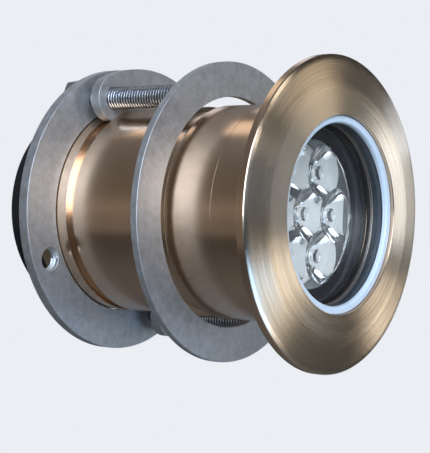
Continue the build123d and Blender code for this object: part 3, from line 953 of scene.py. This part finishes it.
bm = hexagon_bar(gland_flats, 148.7, 161.0, 0, nut_bore)
add_collar(
    bm,
    (
        (11.4, 160.6),
        (11.0, 162.4),
        (9.6, 163.7),
        (7.6, 164.3),
        (5.5, 164.3),
        (5.5, 161.9),
        (seal_seat, 161.9),
        (seal_seat, 155.2),
        (nut_bore, 155.2),
        (nut_bore, 160.6),
    ),
)
finish_piece(finished(bm, "gland_nut_domed"), satin_nickel, "housing", "nickel_brass", "gland_nut")


# Window: a thick pane of toughened glass in a white polymer ring, with a black rubber gasket round its
# edge. The pane bends no light here, so that the lenses behind it show in their own places.
glass_radius = 38.5
glass_front = -2.4
glass_back = 3.4
edge_inner = 37.8
seal_bore = 37.8
seal_radius = 40.95
seal_front = -4.9
seal_back = -2.5
gasket_bore = 38.7
pocket_radius = 40.9
glint_area = 0.24
smear_size = 33.3

# Moulded acetal: a cool white with a soft sheen.
white_acetal = mottled("moulded_white_acetal", "bbc9d0", "c7d1d6", 2.5, 0.3, 0.42, 0.01, {"IOR": 1.48})
seal = turned(
    "window_seal_ring_moulded",
    [
        (seal_bore, seal_front, 1.0),
        (seal_radius, seal_front, 0.25),
        (seal_radius, seal_back, 0.2),
        (seal_bore, seal_back, 0.3),
    ],
    steps=300,
)
finish_piece(seal, white_acetal, "housing", "white_polymer", "window_seal_ring")

# Nitrile rubber: matt black with a slight sheen on its moulded skin.
nitrile = mottled("moulded_nitrile_rubber", "0e0e10", "1d1e21", 1.11, 0.5, 0.68, 0.02, {"IOR": 1.52})
gasket = turned(
    "window_gasket_moulded",
    [
        (gasket_bore, glass_front, 0.2),
        (pocket_radius, glass_front, 0.2),
        (pocket_radius, 5.0, 0.2),
        (front_bore, 5.0, 0.2),
        (front_bore, glass_back + 0.1, 0.2),
        (gasket_bore, glass_back + 0.1, 0),
    ],
    steps=240,
)
finish_piece(gasket, nitrile, "housing", "black_rubber", "window_gasket")

# Toughened glass: clear, with reflections that strengthen towards a grazing look.
clear_glass, tree = new_material("toughened_clear_glass")
place = add(tree, "ShaderNodeTexCoord")
smear = add(
    tree,
    "ShaderNodeTexNoise",
    {"Scale": 1000 / smear_size, "Detail": 2.0},
    {"Vector": place.outputs["Object"]},
)
haze = add(tree, "ShaderNodeMapRange", {"To Min": 0.01, "To Max": 0.03}, {"Value": smear.outputs["Fac"]})
mirror = add(tree, "ShaderNodeBsdfAnisotropic", {"Roughness": 0.0})
through = add(tree, "ShaderNodeBsdfTransparent", {"Color": linear("fffffd")})
slant = add(tree, "ShaderNodeLayerWeight", {"Blend": 0.5})
steep = add(tree, "ShaderNodeMath", {"operation": "POWER", 1: 4.0}, {0: slant.outputs["Facing"]})
share = add(
    tree,
    "ShaderNodeMath",
    {"operation": "MULTIPLY_ADD", 1: 0.6},
    {0: steep.outputs[0], 2: haze.outputs["Result"]},
)
mixed = add(
    tree,
    "ShaderNodeMixShader",
    links={"Fac": share.outputs[0], 1: through.outputs[0], 2: mirror.outputs[0]},
)
add(tree, "ShaderNodeOutputMaterial", links={"Surface": mixed.outputs[0]})

# Ground glass edge: painted dark, as painted shade that stands for the gasket seen through it, with two
# thin painted glints, tan lines that stand for its bevel's reflection of the bronze.
edge_painted_dark = mottled("ground_glass_edge_painted_dark", "1c2229", "30383f", 3.33, 0.25, 0.45, 0.01, {"IOR": 1.5})
glint = mottled("bevel_glint", "8f7f6c", "a8967f", 1.67, 0.3, 0.4, 0.01, {"Metallic": 0.6})

glass = turned(
    "window_glass_pane",
    [
        (0, glass_front, 0),
        (glass_radius - 0.6, glass_front, 0.1),
        (glass_radius, -1.8, 0.1),
        (glass_radius, 2.75, 0.16),
        (glass_radius - 0.55, glass_back, 0.16),
        (0, glass_back, 0),
    ],
    steps=300,
)
finish_piece(glass, clear_glass, "housing", "window", "window_glass")
for material in (edge_painted_dark, glint):
    glass.data.materials.append(material)
# Edge faces take the painted dark, and the small faces of the back bevel take the painted glint.
for face in glass.data.polygons:
    radius = face.center.xz.length * 1000
    if radius > edge_inner and face.center.y * 1000 > glass_front + 0.1:
        face.material_index = 1
    if face.material_index and face.center.y > 0 and face.area * 1e6 < glint_area:
        face.material_index = 2


# Lens baffle: black anodised aluminium, turned, with fine steps in its flared mouth that keep stray
# light off the window.
baffle_radius = 37.3
baffle_front = 5.2
baffle_bore = 32.0
throat_radius = 31.3
throat_front = 9.05
throat_back = 9.65
mouth_radius = 35.8
step_start = 32.2
step_width = 0.9
step_back = 8.53
step_rise = 0.52
board_face = 21.05

# Black anodised aluminium: dark and satin, and each turned step catches the light as a thin ring.
baffle_black = mottled("black_anodised_turned", "1a191a", "302f31", 2.0, 0.25, 0.36, 0.0, {"IOR": 1.6})
mouth = [(throat_radius, throat_front, 0.1)]
for step in range(5):
    radius = step_start + step_width * step
    station = step_back - step_rise * step
    mouth += [(radius - 0.35, station + 0.05, 0), (radius, station, 0)]
baffle = turned(
    "lens_baffle_turned",
    [
        (baffle_radius, baffle_front, 0.2),
        (baffle_radius, board_face, 0.2),
        (baffle_bore, board_face, 0.2),
        (baffle_bore, throat_back, 0),
        (throat_radius, throat_back, 0),
    ]
    + mouth
    + [(mouth_radius, baffle_front, 0.15)],
    steps=300,
)
finish_piece(baffle, baffle_black, "housing", "baffle_black", "lens_baffle")


# Lens plate: clear acrylic, moulded in one piece. Seven paraboloids merge at their rims, and each one's
# wall mirrors the room from inside, as a bright band round a pale bowl. A well sits over each emitter.
lens_pitch = 20.5
lens_bearing = -3.0
lens_front = 9.75
lens_back = 11.75
lens_corner = lens_pitch / sqrt(3)
foot_station = 20.75
foot_radius = 4.2
well_radius = 3.0
well_front = 16.55
well_dome = 0.9
disc_radius = 31.8
wall_reach = 31.7
leg_radius = 1.2
flow_size = 16.7

# Moulded clear acrylic: it bends and mirrors what lies behind it, with a faint flow in its skin.
clear_acrylic, tree = new_material("moulded_clear_acrylic")
place = add(tree, "ShaderNodeTexCoord")
flow = add(
    tree,
    "ShaderNodeTexNoise",
    {"Scale": 1000 / flow_size, "Detail": 2.0},
    {"Vector": place.outputs["Object"]},
)
rough = add(tree, "ShaderNodeMapRange", {"To Min": 0.0, "To Max": 0.03}, {"Value": flow.outputs["Fac"]})
tone = add(tree, "ShaderNodeValToRGB", links={"Fac": flow.outputs["Fac"]})
tone.color_ramp.elements[0].position = 0.3
tone.color_ramp.elements[0].color = linear("fffefb")
tone.color_ramp.elements[1].position = 0.7
tone.color_ramp.elements[1].color = linear("ffffff")
shader = add(
    tree,
    "ShaderNodeBsdfPrincipled",
    {"IOR": 1.49, "Transmission Weight": 0.96},
    {"Base Color": tone.outputs["Color"], "Roughness": rough.outputs["Result"]},
)
rays = add(tree, "ShaderNodeLightPath")
lit_through = add(tree, "ShaderNodeBsdfTransparent", {"Color": linear("ffffff")})
soft_rays = add(
    tree,
    "ShaderNodeMath",
    {"operation": "MAXIMUM"},
    {0: rays.outputs["Is Shadow Ray"], 1: rays.outputs["Is Diffuse Ray"]},
)
mixed = add(
    tree,
    "ShaderNodeMixShader",
    links={"Fac": soft_rays.outputs[0], 1: shader.outputs[0], 2: lit_through.outputs[0]},
)
add(tree, "ShaderNodeOutputMaterial", links={"Surface": mixed.outputs[0]})


def lens_side(steps):
    """Points of the paraboloid's wall from the rim to the foot."""
    depth = foot_station - lens_back
    points = []
    for step in range(steps + 1):
        radius = lens_corner - (lens_corner - foot_radius) * step / steps
        share = (radius**2 - foot_radius**2) / (lens_corner**2 - foot_radius**2)
        points.append((radius, foot_station - depth * share))
    return points


def lens_shell(bm):
    """One collimator: a clear paraboloid, its foot and the domed well in it."""
    root = lens_back - 0.7
    outline = [(0, root), (lens_corner, root)] + lens_side(28) + [(well_radius, foot_station)]
    for step in range(9):
        radius = well_radius * (1 - step / 8)
        outline.append((radius, well_front + well_dome * (1 - (radius / well_radius) ** 2)))
    points = [bm.verts.new((radius / 1000, station / 1000, 0)) for radius, station in outline]
    for pair in zip(points, points[1:]):
        bm.edges.new(pair)
    spun(bm, 72)


def joined(bm, other):
    """Joins two bmeshes of closed shells into one skin, so that light meets no wall inside it."""
    solids = []
    for solid in (bm, other):
        bmesh.ops.recalc_face_normals(solid, faces=solid.faces[:])
        mesh = bpy.data.meshes.new("solid")
        solid.to_mesh(mesh)
        solid.free()
        solids.append(bpy.data.objects.new("solid", mesh))
        bpy.context.collection.objects.link(solids[-1])
    union = solids[0].modifiers.new("union", "BOOLEAN")
    union.operation = "UNION"
    union.object = solids[1]
    union.solver = "EXACT"
    union.use_self = True
    skin = bmesh.new()
    skin.from_object(solids[0], bpy.context.evaluated_depsgraph_get())
    for solid in solids:
        bpy.data.meshes.remove(solid.data)
    return skin


places = [Vector((0, 0, 0))] + [on_circle(lens_bearing + 60 * cell, lens_pitch) for cell in range(6)]
shells = bmesh.new()
for place in places:
    lens = bmesh.new()
    lens_shell(lens)
    add_shell(shells, lens, place)
for corner in range(3):
    leg = bmesh.new()
    ends = [loop(leg, leg_radius, station, 24, True) for station in (lens_back - 0.6, board_face)]
    bands(leg, ends)
    add_shell(shells, leg, on_circle(lens_bearing + 90 + 120 * corner, lens_corner))
# The outer cells stop where the disc does.
for vert in shells.verts:
    vert.co.xz = vert.co.xz * min(1, wall_reach / 1000 / max(vert.co.xz.length, 0.001))
disc = bmesh.new()
bands(disc, [loop(disc, disc_radius, station, 240, True) for station in (lens_front, lens_back)])
lenses = finished(joined(disc, shells), "lens_plate_moulded", 40)
finish_piece(lenses, clear_acrylic, "housing", "optics", "lens_plate")


# Inner pieces, closed in by the housing: rubber rings, the LED board on its pad and heat sink, and the
# driver with its parts. They are bought or machined parts, screwed or clamped in place, and their plain
# shapes stand, each with its real finish.
def refinish(material, *nodes):
    """Gives CAD nodes a material in place of their plain one."""
    for node in nodes:
        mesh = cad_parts[node].data
        mesh.materials.clear()
        mesh.materials.append(material)


# Squeezed rubber rings.
refinish(nitrile, "seam_o_ring", "cap_o_ring", "gland_o_ring", "gland_seal")
# White solder mask: bright and slightly glossy, so that stray light goes back out.
solder_white = mottled("white_solder_mask", "f3efe9", "fdfaf5", 2.0, 0.28, 0.42, 0.01, {"IOR": 1.5})
refinish(solder_white, "led_board")
# Clear silicone over white ceramic: a pale grey with a glassy skin.
emitter_white = mottled(
    "silicone_on_ceramic",
    "c4c8cc",
    "d8dbde",
    0.833,
    0.1,
    0.2,
    0.01,
    {"IOR": 1.41, "Coat Weight": 0.8},
)
refinish(emitter_white, "led_emitters")
# Bright steel screws.
bright_steel = mottled("bright_steel_screw", "a9acb0", "c9ccd0", 0.714, 0.2, 0.34, 0.01, {"Metallic": 1.0})
refinish(bright_steel, "board_screws", "driver_screws", "cap_screws")
# Filled silicone pad: soft, matt grey-blue, with the glass weave showing faintly.
silicone_pad = mottled("filled_silicone_pad", "6f7c8a", "8793a1", 0.625, 0.6, 0.8, 0.04, {"IOR": 1.43})
refinish(silicone_pad, "thermal_pad")
# Milled aluminium: pale, with cutter marks that break its reflections.
milled_aluminium = mottled("milled_aluminium", "b4b6b9", "d2d4d6", 1.54, 0.24, 0.4, 0.03, {"Metallic": 1.0})
refinish(milled_aluminium, "heat_sink", "heat_sink_lock_ring")
refinish(satin_nickel, "driver_standoffs")
# Green solder mask over glass laminate.
solder_green = mottled("green_solder_mask", "0c3a20", "16512e", 2.38, 0.22, 0.4, 0.02, {"IOR": 1.55})
refinish(solder_green, "driver_board")
# Shrink sleeve: thin, tight and shiny blue-black.
shrink_sleeve = mottled("black_shrink_sleeve", "10131d", "1d2231", 3.85, 0.15, 0.3, 0.01, {"IOR": 1.54})
refinish(shrink_sleeve, "driver_capacitors")
# Enamelled copper winding: warm copper under a clear lacquer.
copper_winding = mottled(
    "enamelled_copper", "8a4a24", "b3683a", 1.25, 0.2, 0.36, 0.05, {"Metallic": 0.8, "Coat Weight": 0.5}
)
refinish(copper_winding, "driver_choke")
# Moulded terminal block: matt green polyamide.
terminal_green = mottled(
    "moulded_green_polyamide",
    "1e5a34",
    "2c7446",
    1.11,
    0.42,
    0.58,
    0.02,
    {"IOR": 1.53},
)
refinish(terminal_green, "input_terminal")
